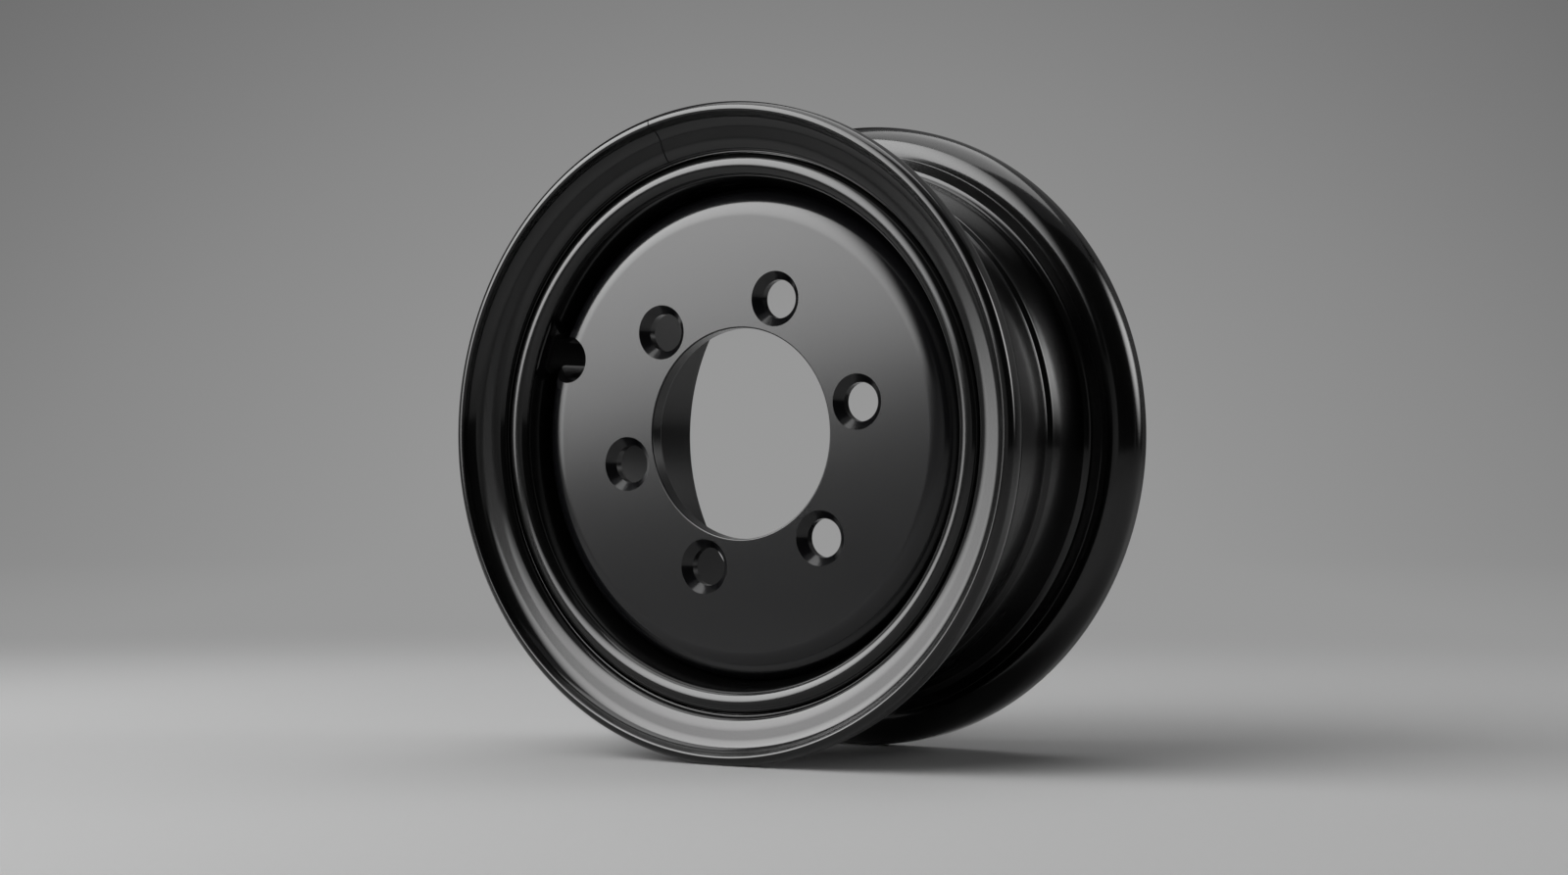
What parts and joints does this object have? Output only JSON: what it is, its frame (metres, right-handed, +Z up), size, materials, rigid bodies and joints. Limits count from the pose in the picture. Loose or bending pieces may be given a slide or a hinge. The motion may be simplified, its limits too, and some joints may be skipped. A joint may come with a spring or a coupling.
{
  "type": "forklift wheel rim",
  "caption": "Black steel wheel rim for a small forklift truck: a deep-drawn disc welded into a rolled rim whose side ring comes off to change the tyre.",
  "frame": {"origin": "centre of the wheel: on its axis, midway between the two flange lips", "axes": "+Y along the wheel's axis, from its outer face toward the truck; +Z up, with the wheel standing upright on its flanges"},
  "size_m": [0.2382, 0.107, 0.2382],
  "materials": {
    "rim_paint": "satin",
    "ring_paint": "satin",
    "disc_paint": "satin",
    "weld_paint": "satin"
  },
  "bodies": {
    "root": {"rim_base": "rim_paint", "side_ring": "ring_paint", "wheel_disc": "disc_paint", "disc_weld": "weld_paint"}
  },
  "joints": []
}
